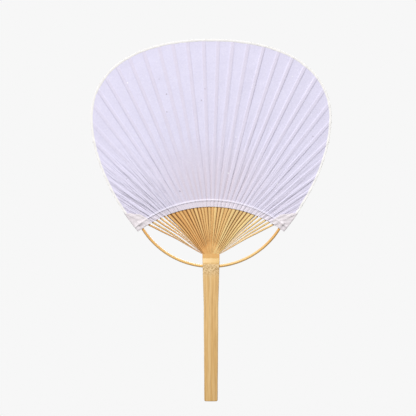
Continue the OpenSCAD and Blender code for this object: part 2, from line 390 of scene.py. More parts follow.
def srgb(red, green, blue):
    """A colour given as it looks on a screen, 0 to 255, as the linear colour that shaders take."""
    c = np.array([red, green, blue]) / 255.0
    linear = np.where(c <= 0.04045, c / 12.92, ((c + 0.055) / 1.055) ** 2.4)
    return (*linear, 1.0)


def feed(tree, value, socket):
    """Links a node's result to an input, or sets the input to a plain value."""
    if isinstance(value, bpy.types.NodeSocket):
        tree.links.new(value, socket)
    else:
        socket.default_value = value


def add(tree, kind, **inputs):
    """A node of a kind with its inputs fed. Nodes stand in rows, in the order they are made."""
    row, column = divmod(len(tree.nodes), NODES_PER_ROW)
    node = tree.nodes.new(kind)
    node.location = (220.0 * column, -340.0 * row)
    for key, value in inputs.items():
        feed(tree, value, node.inputs[key.replace("_", " ")])
    return node


def math_node(tree, operation, a, b=0.0, c=0.0):
    """The result of a Math node."""
    node = add(tree, "ShaderNodeMath")
    node.operation = operation
    for value, socket in zip((a, b, c), node.inputs):
        feed(tree, value, socket)
    return node.outputs[0]


def times(tree, a, b):
    """The product of two values."""
    return math_node(tree, "MULTIPLY", a, b)


def spread(tree, value, low, high):
    """A value moved from the range low to high onto 0 to 1, and held there."""
    return add(tree, "ShaderNodeMapRange", Value=value, From_Min=low, From_Max=high).outputs[0]


def noise(tree, vector, scale, detail, roughness=0.5, distortion=0.0):
    """A smooth noise over a coordinate."""
    return add(tree, "ShaderNodeTexNoise", Vector=vector, Scale=scale, Detail=detail,
               Roughness=roughness, Distortion=distortion).outputs[0]


def lay(tree, paint, *coats):
    """A colour with coats laid over it in turn, each given as its amount and its colour."""
    for amount, colour in coats:
        node = add(tree, "ShaderNodeMix")
        node.data_type = "RGBA"
        for value, socket in zip((amount, paint, colour), (node.inputs[0], node.inputs[6], node.inputs[7])):
            feed(tree, value, socket)
        paint = node.outputs[2]
    return paint


def new_group(name, inputs, outputs):
    """A shader node group with the given value inputs and outputs, and its two ends."""
    group = bpy.data.node_groups.new(name, "ShaderNodeTree")
    for label, kind, value in inputs:
        socket = group.interface.new_socket(name=label, in_out="INPUT", socket_type=kind)
        if value is not None:
            socket.default_value = value
    for label in outputs:
        group.interface.new_socket(name=label, in_out="OUTPUT", socket_type="NodeSocketFloat")
    return group, add(group, "NodeGroupInput"), add(group, "NodeGroupOutput")


def bamboo_grain_group():
    """Fibres of bamboo that run along the coordinate's first axis: fine streaks, broad streaks, and
    small dark pores drawn out along them. All are noise, stretched by the two rates."""
    group, start, end = new_group(
        "bamboo grain",
        [("Coordinate", "NodeSocketVector", None), ("Along", "NodeSocketFloat", 25.0),
         ("Across", "NodeSocketFloat", 2200.0)],
        ["Fine", "Broad", "Pores"],
    )
    rates = add(group, "ShaderNodeCombineXYZ", X=start.outputs["Along"], Y=start.outputs["Across"],
                Z=start.outputs["Across"])
    stretched = add(group, "ShaderNodeVectorMath")
    stretched.operation = "MULTIPLY"
    feed(group, start.outputs["Coordinate"], stretched.inputs[0])
    feed(group, rates.outputs[0], stretched.inputs[1])
    vector = stretched.outputs[0]
    feed(group, noise(group, vector, 1.0, 4.0, 0.65), end.inputs["Fine"])
    feed(group, noise(group, vector, 0.3, 2.0), end.inputs["Broad"])
    feed(group, spread(group, noise(group, vector, 1.9, 1.0, 0.4), 0.64, 0.74), end.inputs["Pores"])
    return group


def paper_fibre_group():
    """Handmade paper: cloudy thickness, fine pulp, long thin fibres, and rare dark specks and pale
    flecks. Clouds and pulp are noise, the fibres are thin bands of a warped noise, and the specks and
    flecks are the uneven centres of a few cells, the specks each of a size of its own."""
    group, start, end = new_group(
        "paper fibres",
        [("Coordinate", "NodeSocketVector", None), ("Scale", "NodeSocketFloat", 1.0)],
        ["Clouds", "Pulp", "Fibres", "Specks", "Flecks"],
    )
    scaled = add(group, "ShaderNodeVectorMath")
    scaled.operation = "SCALE"
    feed(group, start.outputs["Coordinate"], scaled.inputs["Vector"])
    feed(group, start.outputs["Scale"], scaled.inputs["Scale"])
    vector = scaled.outputs[0]
    offset = math_node(group, "SUBTRACT", noise(group, vector, 260.0, 2.0, 0.5, 1.2), 0.5)
    cells = add(group, "ShaderNodeTexVoronoi")
    cells.voronoi_dimensions = "2D"
    feed(group, vector, cells.inputs["Vector"])
    feed(group, 90.0, cells.inputs["Scale"])
    chosen = add(group, "ShaderNodeTexWhiteNoise", Vector=cells.outputs["Position"]).outputs[0]
    uneven = math_node(group, "MULTIPLY_ADD", offset, 0.16, cells.outputs["Distance"])
    size = math_node(group, "MULTIPLY_ADD", chosen, 22.0, -20.8)
    specks = spread(group, math_node(group, "DIVIDE", uneven, size), 0.085, 0.035)
    flecks = spread(group, uneven, 0.07, 0.035)
    results = {
        "Clouds": noise(group, vector, 60.0, 3.0, 0.55),
        "Pulp": noise(group, vector, 430.0, 2.0, 0.6),
        "Fibres": spread(group, math_node(group, "ABSOLUTE", offset), 0.02, 0.0),
        "Specks": times(group, specks, math_node(group, "GREATER_THAN", chosen, 0.965)),
        "Flecks": times(group, flecks, math_node(group, "LESS_THAN", chosen, 0.035)),
    }
    for label, value in results.items():
        feed(group, value, end.inputs[label])
    return group


BAMBOO_GRAIN = bamboo_grain_group()
PAPER_FIBRES = paper_fibre_group()


def use_group(tree, group, **inputs):
    """The results of a group placed in a tree with its inputs fed."""
    node = add(tree, "ShaderNodeGroup")
    node.node_tree = group
    for key, value in inputs.items():
        feed(tree, value, node.inputs[key])
    return node.outputs


def new_material(name, roughness, specular):
    """A material, its tree and its Principled shader."""
    material = bpy.data.materials.new(name)
    material.use_nodes = True
    tree = material.node_tree
    shader = tree.nodes["Principled BSDF"]
    shader.location = (220.0 * NODES_PER_ROW, 0.0)
    tree.nodes["Material Output"].location = (220.0 * (NODES_PER_ROW + 2), 0.0)
    shader.inputs["Roughness"].default_value = roughness
    shader.inputs["Specular IOR Level"].default_value = specular
    return material, tree, shader


def set_surface(tree, shader, paint, height, distance, strength):
    """Gives a shader its colour, and raises its surface by a height from 0 to 1 times a distance in
    millimetres."""
    raised = add(tree, "ShaderNodeBump", Strength=strength, Distance=distance * MM, Height=height)
    tree.links.new(paint, shader.inputs["Base Color"])
    tree.links.new(raised.outputs[0], shader.inputs["Normal"])


def mark(tree, label):
    """A value that the mesh carries at each point."""
    node = add(tree, "ShaderNodeAttribute")
    node.attribute_name = label
    return node.outputs["Fac"]


def grain_map(tree):
    """The piece's own map: metres along its grain and across it."""
    node = add(tree, "ShaderNodeUVMap")
    node.uv_map = "grain"
    return node.outputs[0]


def handle_bamboo():
    """Planed bamboo of the handle: warm straw with straight fibres, painted a shade deeper on the bevel to
    tone down the light it catches, greyer and mottled where the strip's node was planed off, and a little
    deeper towards the end."""
    material, tree, shader = new_material("handle bamboo", 0.42, 0.4)
    place = add(tree, "ShaderNodeTexCoord").outputs["Object"]
    turned = add(tree, "ShaderNodeMapping", Vector=place, Rotation=(0.0, math.radians(90.0), 0.0))
    grain = use_group(tree, BAMBOO_GRAIN, Coordinate=turned.outputs[0], Along=28.0, Across=1500.0)
    height = add(tree, "ShaderNodeSeparateXYZ", Vector=place).outputs["Z"]

    def between(low, low_end, high_end, high):
        """1 between two heights in millimetres, fading out from low_end to low and high_end to high."""
        return times(tree, spread(tree, height, low * MM, low_end * MM),
                     spread(tree, height, high * MM, high_end * MM))

    # Painted shade on the bevel, which faces up into the light
    bevel = between(BEVEL_Z - 0.6, BEVEL_Z + 0.2, HANDLE_LEN - 0.1, HANDLE_LEN + 0.7)
    node_band = between(BEVEL_Z - 16.0, BEVEL_Z - 7.0, BEVEL_Z - 2.0, BEVEL_Z - 0.5)
    root = spread(tree, height, (HANDLE_LEN - 0.1) * MM, (HANDLE_LEN + 0.7) * MM)
    blotch = spread(tree, noise(tree, place, 900.0, 2.0), 0.4, 0.68)
    mottled = lay(tree, srgb(250, 221, 172), (blotch, srgb(160, 122, 70)))
    paint = lay(
        tree, srgb(247, 204, 138),
        (spread(tree, height, 115.0 * MM, 0.0), srgb(230, 186, 115)),
        (spread(tree, grain["Fine"], 0.35, 0.75), srgb(190, 144, 84)),
        (spread(tree, grain["Broad"], 0.45, 0.7), srgb(238, 203, 146)),
        (times(tree, node_band, 0.75), mottled),
        (times(tree, grain["Pores"], 0.5), srgb(170, 122, 66)),
        # Painted shade that tones down the light on the bevel
        (times(tree, bevel, 0.8), srgb(217, 180, 112)),
        (times(tree, root, 0.75), srgb(232, 178, 107)),
    )
    set_surface(tree, shader, paint, grain["Fine"], 0.06, 0.5)
    return material


def rib_bamboo():
    """Split bamboo of the ribs: straw on their faces, each in its own tone with a painted highlight that
    grows from left to right, and painted brown shade in the splits.
    """
    material, tree, shader = new_material("rib bamboo", 0.45, 0.35)
    grain = use_group(tree, BAMBOO_GRAIN, Coordinate=grain_map(tree), Along=30.0, Across=2600.0)
    split = mark(tree, "split")
    paint = lay(
        tree, srgb(242, 183, 112),
        # The tone carries each rib's own paleness and a painted highlight that grows from left to right
        (mark(tree, "tone"), srgb(255, 231, 164)),
        (spread(tree, grain["Fine"], 0.4, 0.75), srgb(196, 146, 84)),
        # Painted shade in the splits between the ribs, darkest at the outer sides of the outermost broad
        # ribs
        (spread(tree, split, 0.05, 0.85), srgb(160, 110, 62)),
        (spread(tree, split, 1.0, 1.8), srgb(88, 58, 34)),
    )
    set_surface(tree, shader, paint, grain["Fine"], 0.05, 0.5)
    return material


def bow_bamboo():
    """Scraped round bamboo of the bow: a shade deeper than the handle, darker towards its ends."""
    material, tree, shader = new_material("bow bamboo", 0.4, 0.4)
    grain = use_group(tree, BAMBOO_GRAIN, Coordinate=grain_map(tree), Along=35.0, Across=1700.0)
    paint = lay(
        tree, srgb(250, 205, 130),
        (mark(tree, "end"), srgb(236, 176, 96)),
        (spread(tree, grain["Fine"], 0.35, 0.75), srgb(216, 168, 100)),
    )
    set_surface(tree, shader, paint, grain["Fine"], 0.05, 0.5)
    return material


def sheet_paper(name, light, dark, over_rib, fibre_gain=0.3, crinkle=0.05, wrinkle=0.0):
    """Matte paper with cloudy thickness, fibres, specks and flecks, deeper where a rib lies under it, with
    painted shade over the gaps between ribs near the thread, pinker below the thread, and with a painted
    highlight along the thread's ridge. It is rough by crinkle millimetres, and fine wrinkles as high as
    wrinkle millimetres run along the map's first axis."""
    material, tree, shader = new_material(name, 0.85, 0.15)
    place = add(tree, "ShaderNodeTexCoord").outputs["Object"]
    apart = add(tree, "ShaderNodeSeparateXYZ", Vector=place).outputs
    plane = add(tree, "ShaderNodeCombineXYZ", X=apart["X"], Y=apart["Z"], Z=apart["Y"])
    fibres = use_group(tree, PAPER_FIBRES, Coordinate=plane.outputs[0], Scale=1.0)
    thick = math_node(tree, "MULTIPLY_ADD", fibres["Pulp"], 0.6, times(tree, fibres["Clouds"], 0.4))
    paint = lay(
        tree, light,
        (spread(tree, thick, 0.3, 0.7), dark),
        # Ribs showing through, and near the thread painted shade over the gaps between them
        (times(tree, mark(tree, "cover"), 0.85), over_rib),
        (times(tree, mark(tree, "hem"), 0.6), srgb(238, 228, 235)),
        # Painted highlight along the thread's ridge
        (times(tree, mark(tree, "crest"), 0.3), srgb(255, 252, 255)),
        (times(tree, fibres["Fibres"], fibre_gain), srgb(255, 252, 255)),
        (times(tree, fibres["Flecks"], 0.8), srgb(252, 250, 255)),
        (times(tree, fibres["Specks"], 0.55), srgb(150, 138, 150)),
    )
    rough = math_node(tree, "MULTIPLY_ADD", fibres["Pulp"], 1.2, times(tree, fibres["Fibres"], 0.5))
    if wrinkle:
        stretched = add(tree, "ShaderNodeMapping", Vector=grain_map(tree), Scale=(26.0, 340.0, 1.0))
        lines = noise(tree, stretched.outputs[0], 1.0, 2.0, 0.55)
        strength = times(tree, mark(tree, "drawn"), wrinkle / crinkle)
        rough = math_node(tree, "ADD", rough, times(tree, lines, strength))
    set_surface(tree, shader, paint, rough, crinkle, 0.6)
    return material


def thread_cotton():
    """Undyed cotton thread with fine twist lines across it."""
    material, tree, shader = new_material("thread cotton", 0.8, 0.2)
    twist = add(tree, "ShaderNodeTexWave", Vector=grain_map(tree), Scale=900.0, Distortion=1.0)
    lines = twist.outputs["Fac"]
    paint = lay(tree, srgb(232, 226, 212), (lines, srgb(198, 188, 168)))
    set_surface(tree, shader, paint, lines, 0.04, 0.6)
    return material


# Pieces


def rounded_section(half_w, front, back, radius, arc_steps):
    """Rounded rectangles, one for each row: quarter circles at the four corners joined by straight
    sides, anticlockwise seen from above. Rows may differ in every size."""
    turn = np.linspace(0.0, math.pi / 2.0, arc_steps)
    quarters = np.concatenate([turn + k * math.pi / 2.0 for k in range(4)])
    side = np.repeat([1.0, -1.0, -1.0, 1.0], arc_steps)
    face = np.repeat([1.0, 1.0, -1.0, -1.0], arc_steps)
    half_w, front, back, radius = (row[:, None] for row in (half_w, front, back, radius))
    centre_x = side * (half_w - radius)
    centre_y = np.where(face > 0, back - radius, front + radius)
    return centre_x + radius * np.cos(quarters), centre_y + radius * np.sin(quarters)


def handle_width(z):
    """Half the handle's width at a height: straight runs, and a quarter circle at each end corner."""
    half = np.interp(z, [0.0, HANDLE_LEN - FLARE_LEN, HANDLE_LEN], [END_W / 2, GRIP_W / 2, SHOULDER_W / 2])
    cut = np.clip(END_R - z, 0.0, END_R)
    return half - END_R + np.sqrt(END_R**2 - cut**2)


# The handle's end edge is rounded over this height and depth, and its side edges by this radius
END_EDGE_H = 0.7
END_EDGE_D = 0.4
EDGE_ROUNDING = (1.15, 1.1, 0.4)


def make_handle(material):
    """The handle as far as the neck: a rounded rectangle carried up the strip. Its faces come together
    along the two bevels, and above them it sinks a little under the roots of the ribs."""
    z = np.concatenate([
        [0.0, 0.1, 0.35, END_EDGE_H, 1.1, END_R],
        np.linspace(4.0, BEVEL_Z - 5.0, 35),
        [BEVEL_Z - 0.15, BEVEL_Z + 0.15],
        np.linspace(BEVEL_Z + 0.8, HANDLE_LEN - 0.6, 7),
        HANDLE_LEN + np.array([-0.15, 0.15, 0.6, 1.5, 2.5, 3.4, 4.2]),
        [NECK_TOP],
    ])
    rounding = END_EDGE_D * (1.0 - np.sqrt(1.0 - np.clip(1.0 - z / END_EDGE_H, 0.0, 1.0) ** 2))
    inward = rounding + 0.09 * smooth(HANDLE_LEN + 0.6, NECK_TOP, z)
    front = np.interp(z, [BEVEL_Z, HANDLE_LEN], [-HANDLE_T / 2, RIB_FRONT]) + inward
    back = np.interp(z, [HANDLE_LEN - BACK_BEVEL, HANDLE_LEN], [HANDLE_T / 2, RIB_BACK]) - inward
    uneven = 0.06 * sway(3, 4, 30.0, 90.0)(z) * smooth(5.0, 20.0, z) * smooth(150.0, 130.0, z)
    radius = np.interp(z, [0.0, 140.0, 150.0], EDGE_ROUNDING)
    x, y = rounded_section(handle_width(z) + uneven, front, back, radius, 7)
    points = point_list(x, y, z[:, None])
    body = outward(new_piece("handle", points, capped_faces(*x.shape), material, smooth_angle=35.0))
    return cut_hole(body, material)


def cut_hole(body, material):
    """Cuts a round hole across the handle for the bow, a little wider than the bow."""
    turn = np.linspace(0.0, 2.0 * math.pi, 48, endpoint=False)
    radius = BOW_D / 2.0 + HOLE_ROOM
    y, z = RIB_Y + radius * np.cos(turn), BOW_LOW_Z + HOLE_ROOM + radius * np.sin(turn)
    points = np.vstack([point_list(x, y, z) for x in (-12.0, 12.0)])
    drill = outward(new_piece("drill", points, capped_faces(2, turn.size), material))
    cut = body.modifiers.new("hole", "BOOLEAN")
    cut.operation = "DIFFERENCE"
    cut.object = drill
    cut.solver = "EXACT"
    made = bpy.data.meshes.new_from_object(body.evaluated_get(bpy.context.evaluated_depsgraph_get()))
    body.modifiers.clear()
    body.data = made
    bpy.data.objects.remove(drill)
    made.set_sharp_from_angle(angle=math.radians(35.0))
    return body


# Lines of the fan more than BEND_FROM to the side bend away near the neck, by up to BEND
BEND_FROM = math.radians(25.0)
BEND = math.radians(13.0)


def fan_angle(angle, reach):
    """Where a line at an angle of the fan lies at a distance from the spreading point. Far out it is
    the angle itself. Near the neck the lines at the sides bend away, because the broad ribs fill the
    strip's whole width there and the slender ones leave it close together at its side."""
    share = np.clip((np.abs(angle) - BEND_FROM) / (RIB_SPREAD - BEND_FROM), 0.0, 1.0)
    bend = BEND * np.sin(math.pi * share) ** 2
    return angle + np.sign(angle) * bend * np.exp(-np.maximum(reach - 10.0, 0.0) / 10.0)


# How far each slender rib leans towards the middle near the neck, in shares of its room, from the
# outermost rib inwards: they stand in bunches there, as they were split
LEFT_LEAN = (0.12, -0.10, 0.34, 0.22, 0.10)
RIGHT_LEAN = (0.08, -0.06, 0.16, 0.12, 0.06)

# Distances of a rib's rows from the spreading point, as far as its even part
NECK_ROWS = np.array([4.0, 6.0, 8.0, 10.0, 12.0, 14.0, 16.0, 18.0, 20.0, 23.0, 26.0, 30.0, 34.0, 38.0,
                      42.0, 46.0])

# Points of a rib's section, in shares of its half width, and the power p of its fall
SECTION = np.array([-1.0, -0.94, -0.86, -0.74, -0.55, -0.25, 0.25, 0.55, 0.74, 0.86, 0.94, 1.0])
BROAD_POWER = 2.8
SLENDER_POWER = 3.2

# Share of the full thickness that a slender rib has, how far the roots sink into the handle, how much
# a rib is twisted at most, and how far broad ribs reach past their share
SLENDER_T = 0.92
ROOT_SINK = 0.14
TWIST = 0.05
OVERLAP = 0.06

# How far from the spreading point the splits start: in the middle, how much nearer at SPLIT_SIDE, by
# how much each strays, and beyond SPLIT_SIDE. They are fully open SPLIT_LEN further out
SPLIT_START = 11.0
SPLIT_NEARER = 5.0
SPLIT_STRAY = 1.5
SIDE_START = 5.0
SPLIT_SIDE = math.radians(45.0)
SPLIT_LEN = 8.0


def split_shade(s, opened, depth):
    """How much painted shade, brown like shaded bamboo, the points of the ribs carry: as deep as the split
    they lie in, more towards the sides, times each split's own darkness, and deepest on the outer sides of
    the outermost broad ribs, which lie in shade."""
    to_side = np.minimum(np.abs(RIB_ANGLES) / 0.78, 1.0) ** 2
    split = opened * (1.0 - depth) * (0.95 + 1.2 * to_side)[:, None, None]
    own = np.random.default_rng(29).uniform(0.4, 1.6, RIB_N + 1)
    darkness = (own - 0.3 * RIB_LIMITS)[:, None, None]
    split = split * np.where(s < 0, darkness[:-1], darkness[1:])
    split[SLENDER] *= 0.55
    # Painted shade, darkest on the outer side of each outermost broad rib
    split[SIDE_RIBS, :, s < -0.7] += 1.1
    split[RIB_N - SIDE_RIBS - 1, :, s > 0.7] += 1.1
    return split


def rib_tone_and_highlight(own, reach):
    """How pale each rib is at a distance: paler from left to right as a painted highlight for the light
    that falls from the upper left, and by its own amount, deeper in the neck. The slender ribs are paler at
    the left and deeper at the right."""
    # The rise with the angle is a painted highlight, paler towards the right
    tone = 0.4 + 0.6 * RIB_ANGLES + 0.28 * RIB_ANGLES**2 + own
    tone[:SIDE_RIBS] += 0.25
    tone[-SIDE_RIBS:] -= 0.5
    return tone[:, None] - 0.22 * (1.0 - smooth(12.0, 34.0, reach))


def make_ribs(material):
    """All ribs, each a closed slat from the neck to the rim. Its section is a pillow: at s from -1 to 1
    across it, its half thickness is (1 - |s|^p)^0.8 of the full one. At its edges it meets its
    neighbours as far as the thread. In the neck the fall fades out, so that the splits open
    gradually, and the whole drops a little, so that the ribs leave the handle below the spreading
    point."""
    draw = np.random.default_rng(23)
    slender = SLENDER[:, None]
    knee = arc_reach(RIB_ANGLES, THREAD_CENTRE, THREAD_R)[:, None]
    tip = (rim_reach(RIB_ANGLES, 2.0 * BINDING_T) - 0.4)[:, None]
    reach = np.hstack([
        np.broadcast_to(NECK_ROWS, (RIB_N, NECK_ROWS.size)),
        NECK_ROWS[-1] + (knee - NECK_ROWS[-1]) * np.linspace(0.0, 1.0, 6)[1:],
        knee + (tip - knee) * np.linspace(0.0, 1.0, 12)[1:],
    ])
    left = fan_angle(RIB_LIMITS[:-1, None], reach)
    right = fan_angle(RIB_LIMITS[1:, None], reach)
    lean = np.zeros(RIB_N)
    lean[:SIDE_RIBS] = LEFT_LEAN
    lean[-SIDE_RIBS:] = -np.array(RIGHT_LEAN[::-1])
    centre = (left + right) / 2.0 + lean[:, None] * (right - left) * (1.0 - smooth(32.0, 58.0, reach))
    share_half = reach * np.tan((right - left) / 2.0)
    past = smooth(0.0, 18.0, reach - knee)
    wide = share_half + OVERLAP
    broad = wide * (1.0 - past) + np.minimum(wide, rib_half_face(RIBS[:, None], reach)) * past
    half = np.where(slender, np.minimum(SLENDER_FILL * share_half, SLENDER_HALF), broad)
    from_middle = np.abs(RIB_LIMITS) / SPLIT_SIDE
    strayed = draw.uniform(-SPLIT_STRAY, SPLIT_STRAY, RIB_N + 1)
    start = np.where(from_middle < 1.0, SPLIT_START - SPLIT_NEARER * from_middle**2 + strayed, SIDE_START)
    opening = smooth(0.0, 1.0, (reach[None] - np.stack([start[:-1], start[1:]])[..., None]) / SPLIT_LEN)

    s = np.concatenate([SECTION, SECTION[-2:0:-1]])
    side = np.concatenate([-np.ones(SECTION.size), np.ones(SECTION.size - 2)])
    fall = np.abs(s) ** np.where(slender, SLENDER_POWER, BROAD_POWER)[..., None]
    opened = np.where(s < 0, opening[0][..., None], opening[1][..., None])
    depth = 1.0 - opened * (1.0 - (1.0 - fall) ** 0.8)
    thick = np.where(slender, SLENDER_T, 1.0)[..., None]
    sunk = ROOT_SINK * (1.0 - smooth(5.0, 11.0, reach))[..., None]
    y = RIB_Y + side * np.maximum((RIB_T / 2.0) * depth * thick - sunk, 0.02)
    y[..., [0, SECTION.size - 1]] = RIB_Y
    twist = draw.uniform(-TWIST, TWIST, RIB_N)[:, None, None] * smooth(15.0, 30.0, reach)[..., None]
    y = y + twist * s * (1.0 - past[..., None])
    across = s * half[..., None]
    x = reach[..., None] * np.sin(centre)[..., None] + across * np.cos(centre)[..., None]
    drop = NECK_DROP * (1.0 - smooth(10.0, 48.0, reach))
    z = SPREAD_Z + (reach * np.cos(centre) - drop)[..., None] - across * np.sin(centre)[..., None]

    rows, around = reach.shape[1], s.size
    one = grid_faces(rows, around, close_columns=True)
    faces = (one[None] + (RIBS * rows * around)[:, None, None]).reshape(-1, 4).tolist()
    for first in RIBS * rows * around:
        last = first + (rows - 1) * around
        faces += [list(range(first, first + around))[::-1], list(range(last, last + around))]

    tone = rib_tone_and_highlight(draw.uniform(-0.22, 0.22, RIB_N), reach)
    # The split mark carries painted shade in the splits, and the tone mark each rib's own paleness with a
    # painted highlight
    marks = {"split": split_shade(s, opened, depth), "tone": np.broadcast_to(tone[..., None], y.shape)}
    uv = point_list(reach[..., None], across + 9.0 * RIBS[:, None, None])
    return outward(new_piece("ribs", point_list(x, y, z), faces, material, uv, marks, smooth_angle=50.0))


def tube(centre, across, outwards, radius, around):
    """A tube round a line: each row is a circle of that row's radius, spanned by two unit vectors."""
    turn = np.linspace(0.0, 2.0 * math.pi, around, endpoint=False)[None, :, None]
    radius = np.asarray(radius, dtype=float).reshape(-1, 1, 1)
    ring = np.cos(turn) * across[:, None, :] + np.sin(turn) * outwards[:, None, :]
    return (centre[:, None, :] + radius * ring).reshape(-1, 3)


BACKWARDS = np.array([[0.0, 1.0, 0.0]])
BOW_SIDES = 16


def make_bow(material):
    """The bow: a round rod along its arc, with a slightly uneven thickness and thinner ends."""
    at = np.linspace(-BOW_END, BOW_END, 150)
    centre = point_list(BOW_R * np.sin(at), RIB_Y, BOW_CENTRE - BOW_R * np.cos(at))
    away = point_list(np.sin(at), 0.0, -np.cos(at))
    uneven = np.minimum(1.0 + 0.02 * sway(8, 5, 0.15, 0.5)(at), 1.0)
    radius = (BOW_D / 2.0) * uneven * (1.0 - 0.12 * smooth(0.8 * BOW_END, BOW_END, np.abs(at)))
    points = tube(centre, BACKWARDS, away, radius, BOW_SIDES)
    uv = point_list(at[:, None] * BOW_R, np.linspace(0.0, math.pi * BOW_D, BOW_SIDES, endpoint=False))
    marks = {"end": np.repeat(smooth(0.45 * BOW_END, BOW_END, np.abs(at)), BOW_SIDES)}
    return outward(new_piece("bow_rod", points, capped_faces(at.size, BOW_SIDES), material, uv, marks))


# Sides of the thread, how far its strands swing sideways, and how long a turn round the bow is
THREAD_SIDES = 8
STRAND_SWING = 0.25
TURN_LEN = 12.0


def make_thread(material):
    """The thread: two strands twined round the ribs, which swap sides between each two of them, and
    its turns round each end of the bow."""
    reach = math.asin(LASH_X / THREAD_R)
    at = np.linspace(-reach, reach, 900)
    circle_x, circle_z = THREAD_R * np.sin(at), THREAD_CENTRE + THREAD_R * np.cos(at)
    seen = np.arctan2(circle_x, circle_z - SPREAD_Z)
    rib_count = np.interp(seen, RIB_LIMITS, np.arange(RIB_N + 1))
    swing = STRAND_SWING * np.cos(math.pi * rib_count)
    over = (RIB_T + THREAD_D) / 2.0 * np.clip(-1.6 * np.sin(math.pi * (rib_count - 0.5)), -1.0, 1.0)
    away = point_list(np.sin(at), 0.0, np.cos(at))
    runs = []
    for sign in (1.0, -1.0):
        centre = point_list(circle_x, RIB_Y + sign * over, circle_z) + away * (sign * swing)[:, None]
        runs.append((centre, BACKWARDS, away, at * THREAD_R))
    turns = np.linspace(-1.5, 1.5, 120)
    spin = 2.0 * math.pi * turns
    on_bow = LASH_ANGLE + turns * THREAD_D / BOW_R
    out_x, out_z = np.sin(on_bow), -np.cos(on_bow)
    for side in (-1.0, 1.0):
        ring = point_list(side * out_x * np.cos(spin), np.sin(spin), out_z * np.cos(spin))
        core = point_list(side * BOW_R * out_x, RIB_Y, BOW_CENTRE + BOW_R * out_z)
        along = point_list(side * np.cos(on_bow), 0.0, np.sin(on_bow))
        runs.append((core + ring * (BOW_D + THREAD_D) / 2.0, along, ring, turns * TURN_LEN))
    points, faces, uv, base = [], [], [], 0
    for centre, across, outwards, length in runs:
        points.append(tube(centre, across, outwards, THREAD_D / 2.0, THREAD_SIDES))
        faces += [[base + k for k in f] for f in capped_faces(len(centre), THREAD_SIDES)]
        uv.append(point_list(length[:, None], np.arange(THREAD_SIDES) * 0.2))
        base += len(points[-1])
    return outward(new_piece("twined_thread", np.vstack(points), faces, material, np.vstack(uv)))


# A paper's columns are numbered from -1 to 1 across each rib's share: as far as FACE_END they lie on
# the rib's face, as far as SLOPE_END on the slope beside it, and the rest on the flat between ribs
FACE_END = 0.4
SLOPE_END = 0.82
SLOPE_SPAN = 0.42
FLAT_SPAN = 0.18


def paper_columns():
    """The paper's columns: for each one its rib, and a number from -1 to 1 across that rib's share.
    Past the outermost ribs the number goes on to 2 at the head's corner."""
    half = np.array([0.0, 0.2, FACE_END, 0.5, 0.6, 0.7, SLOPE_END, 1.0])
    one = np.concatenate([-half[:0:-1], half])[:-1]
    beyond = np.linspace(1.0, 2.0, 12)
    rib = np.concatenate([np.zeros(11, dtype=int), np.repeat(RIBS, one.size), np.full(12, RIB_N - 1)])
    v = np.concatenate([-beyond[:0:-1], np.tile(one, RIB_N), beyond])
    return rib[None, :], v[None, :]


def column_angle(rib, v, reach):
    """Angle of a column at a distance. Its width on the face, the slope and the flat between ribs goes
    with its number, so the columns follow the ridges at any distance."""
    share = reach * np.sin(HALF_PITCH[rib])
    face = np.minimum(rib_half_face(rib, reach), 0.9 * share)
    slope = np.minimum(SLOPE_W / RIB_CRISP[rib], 0.85 * (share - face))
    size = np.minimum(np.abs(v), 1.0)
    on_slope = face + slope * (size - FACE_END) / SLOPE_SPAN
    on_flat = face + slope + (share - face - slope) * (size - SLOPE_END) / FLAT_SPAN
    aside = np.where(size < FACE_END, face * size / FACE_END, np.where(size < SLOPE_END, on_slope, on_flat))
    inside = RIB_ANGLES[rib] + np.sign(v) * np.arcsin(np.clip(aside / reach, -1.0, 1.0))
    limit = np.where(v < 0, RIB_LIMITS[0], RIB_LIMITS[-1])
    corner = np.where(v < 0, -CORNER_ANGLE, CORNER_ANGLE)
    outside = limit + (corner - limit) * (np.abs(v) - 1.0) * 0.9995
    return np.where(np.abs(v) > 1.0, outside, inside)


def paper_grid():
    """Points of the head that both papers share, as x and z in rows from the lower edge to the rim.
    The first rows lie at a share of the way to the thread, the next at an offset from it, closely
    spaced across its ridge, and the last climb from there to the rim. A column's angle and a row's
    distance depend on each other, so they are found by going round a few times."""
    band = np.array([0.0, 0.12, 0.3, 0.5, 0.68])
    ridge = np.array([-1.8, -1.2, -0.8, -0.4, 0.0, 0.4, 0.8, 1.2, 1.7, 2.2])
    above = np.linspace(0.0, 1.0, 58)[1:]
    share = np.concatenate([band, np.ones(ridge.size + above.size)])[:, None]
    offset = np.concatenate([np.zeros(band.size), ridge, np.full(above.size, ridge[-1])])[:, None]
    climb = np.concatenate([np.zeros(band.size + ridge.size), above])[:, None]
    rib, v = paper_columns()
    reach = np.full((share.size, v.size), 100.0)
    for _ in range(6):
        angle = column_angle(rib, v, reach)
        low = arc_reach(angle, EDGE_CENTRE, EDGE_R)
        high = rim_reach(angle, BINDING_T)
        thread = arc_reach(angle, THREAD_CENTRE, THREAD_R)
        fit = np.clip(0.7 * (high - low) / (thread + ridge[-1] - low), 0.0, 1.0)
        span = fit * (thread + offset - low)
        reach = low + span * share + (high - low - span) * climb
    return reach * np.sin(angle), SPREAD_Z + reach * np.cos(angle)


